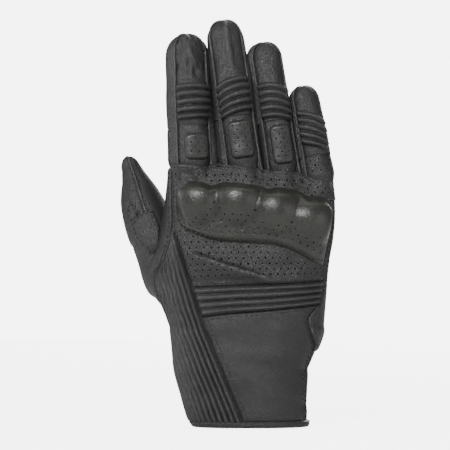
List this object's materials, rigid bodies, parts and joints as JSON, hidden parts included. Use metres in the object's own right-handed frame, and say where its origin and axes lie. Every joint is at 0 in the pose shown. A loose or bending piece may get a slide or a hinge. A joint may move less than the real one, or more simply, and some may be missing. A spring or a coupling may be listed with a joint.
{
  "type": "riding glove",
  "caption": "Right-hand leather riding glove with a moulded knuckle guard, accordion ribs over the joints and a wrist strap.",
  "frame": {"origin": "centre of the wrist opening, in the plane of the hem", "axes": "+Z from the hem to the fingertips, -Y the back of the hand, +Y the palm, the thumb on the -X side"},
  "size_m": [0.1325, 0.0667, 0.2479],
  "materials": {
    "back_leather": "soft grained black leather, semi-matt",
    "gloss_leather": "perforated black leather over padding, satin sheen",
    "palm_leather": "smooth black palm leather, matt",
    "lining_fabric": "black knitted lining",
    "shell_plastic": "moulded, matt",
    "foam": "closed-cell foam",
    "hook_and_loop": "woven hook and loop tape"
  },
  "bodies": {
    "hand": {"palm_panel": "palm_leather", "palm_reinforcement": "palm_leather", "heel_pad": "palm_leather", "side_panel": "back_leather", "web_panel": "back_leather", "back_panel": "back_leather", "back_ribs": "back_leather", "back_lining": "lining_fabric", "knuckle_foam": "foam", "knuckle_shell": "shell_plastic", "knuckle_cover": "gloss_leather", "side_ribs": "back_leather", "cuff_back": "back_leather", "cuff_palm_inner": "back_leather", "cuff_palm_outer": "back_leather", "cuff_gusset": "lining_fabric", "cuff_lining": "lining_fabric", "cuff_binding": "back_leather", "loop_patch": "hook_and_loop", "root_creases": "back_leather", "thumb_root": "back_leather"},
    "index_base": {"index_base_back": "back_leather", "index_base_pad": "gloss_leather", "index_base_sides": "back_leather", "index_base_palm": "palm_leather", "index_flex": "back_leather"},
    "index_tip": {"index_tip_back": "back_leather", "index_tip_sides": "back_leather", "index_tip_palm": "palm_leather"},
    "middle_base": {"middle_base_back": "back_leather", "middle_base_pad": "gloss_leather", "middle_base_sides": "back_leather", "middle_base_palm": "palm_leather", "middle_flex": "back_leather"},
    "middle_tip": {"middle_tip_back": "back_leather", "middle_tip_sides": "back_leather", "middle_tip_palm": "palm_leather"},
    "ring_base": {"ring_base_back": "back_leather", "ring_base_pad": "gloss_leather", "ring_base_sides": "back_leather", "ring_base_palm": "palm_leather", "ring_flex": "back_leather"},
    "ring_tip": {"ring_tip_back": "back_leather", "ring_tip_sides": "back_leather", "ring_tip_palm": "palm_leather"},
    "little_base": {"little_base_back": "back_leather", "little_base_sides": "back_leather", "little_base_palm": "palm_leather", "little_flex": "back_leather"},
    "little_tip": {"little_tip_back": "back_leather", "little_tip_sides": "back_leather", "little_tip_palm": "palm_leather"},
    "thumb_base": {"thumb_base_back": "back_leather", "thumb_base_palm": "palm_leather", "thumb_patch": "palm_leather", "thumb_flex": "back_leather"},
    "thumb_tip": {"thumb_tip_back": "back_leather", "thumb_tip_palm": "palm_leather"},
    "strap": {"strap_leather": "back_leather", "strap_hook": "hook_and_loop"}
  },
  "joints": [
    {"name": "index_root", "type": "hinge", "parent": "hand", "child": "index_base", "pos_m": [-0.036, 0, 0.1575], "axis": [-0.9993, 0, -0.0384], "range_deg": [-5, 60], "stiffness_Nm_per_rad": 0.3, "deforming": ["root_creases"]},
    {"name": "index_middle", "type": "hinge", "parent": "index_base", "child": "index_tip", "pos_m": [-0.03747, 0.00269, 0.19588], "axis": [-0.9993, 0, -0.0384], "range_deg": [-10, 70], "stiffness_Nm_per_rad": 0.15, "deforming": ["index_flex"]},
    {"name": "middle_root", "type": "hinge", "parent": "hand", "child": "middle_base", "pos_m": [-0.0043, 0, 0.1585], "axis": [-0.9903, 0, -0.1392], "range_deg": [-5, 60], "stiffness_Nm_per_rad": 0.3, "deforming": ["root_creases"]},
    {"name": "middle_middle", "type": "hinge", "parent": "middle_base", "child": "middle_tip", "pos_m": [-0.01006, 0.0029, 0.1995], "axis": [-0.9903, 0, -0.1392], "range_deg": [-10, 70], "stiffness_Nm_per_rad": 0.15, "deforming": ["middle_flex"]},
    {"name": "ring_root", "type": "hinge", "parent": "hand", "child": "ring_base", "pos_m": [0.0197, 0, 0.155], "axis": [-0.989, 0, -0.1478], "range_deg": [-5, 60], "stiffness_Nm_per_rad": 0.3, "deforming": ["root_creases"]},
    {"name": "ring_middle", "type": "hinge", "parent": "ring_base", "child": "ring_tip", "pos_m": [0.01351, 0.00293, 0.19644], "axis": [-0.989, 0, -0.1478], "range_deg": [-10, 70], "stiffness_Nm_per_rad": 0.15, "deforming": ["ring_flex"]},
    {"name": "little_root", "type": "hinge", "parent": "hand", "child": "little_base", "pos_m": [0.042, 0, 0.149], "axis": [-0.9839, 0, -0.1788], "range_deg": [-5, 60], "stiffness_Nm_per_rad": 0.3, "deforming": ["root_creases"]},
    {"name": "little_middle", "type": "hinge", "parent": "little_base", "child": "little_tip", "pos_m": [0.03665, 0.00209, 0.17844], "axis": [-0.9839, 0, -0.1788], "range_deg": [-10, 70], "stiffness_Nm_per_rad": 0.15, "deforming": ["little_flex"]},
    {"name": "thumb_root_hinge", "type": "hinge", "parent": "hand", "child": "thumb_base", "pos_m": [-0.0495, 0.017, 0.092], "axis": [0.6521, -0.659, 0.3748], "range_deg": [-30, 10], "stiffness_Nm_per_rad": 0.3, "deforming": ["root_creases"]},
    {"name": "thumb_middle", "type": "hinge", "parent": "thumb_base", "child": "thumb_tip", "pos_m": [-0.06468, 0.02447, 0.13153], "axis": [0.6521, -0.659, 0.3748], "range_deg": [-50, 10], "stiffness_Nm_per_rad": 0.15, "deforming": ["thumb_flex"]},
    {"name": "strap_hinge", "type": "hinge", "parent": "hand", "child": "strap", "pos_m": [0.0356, 0.0141, 0.0255], "axis": [0, 0, -1], "range_deg": [0, 110]}
  ]
}
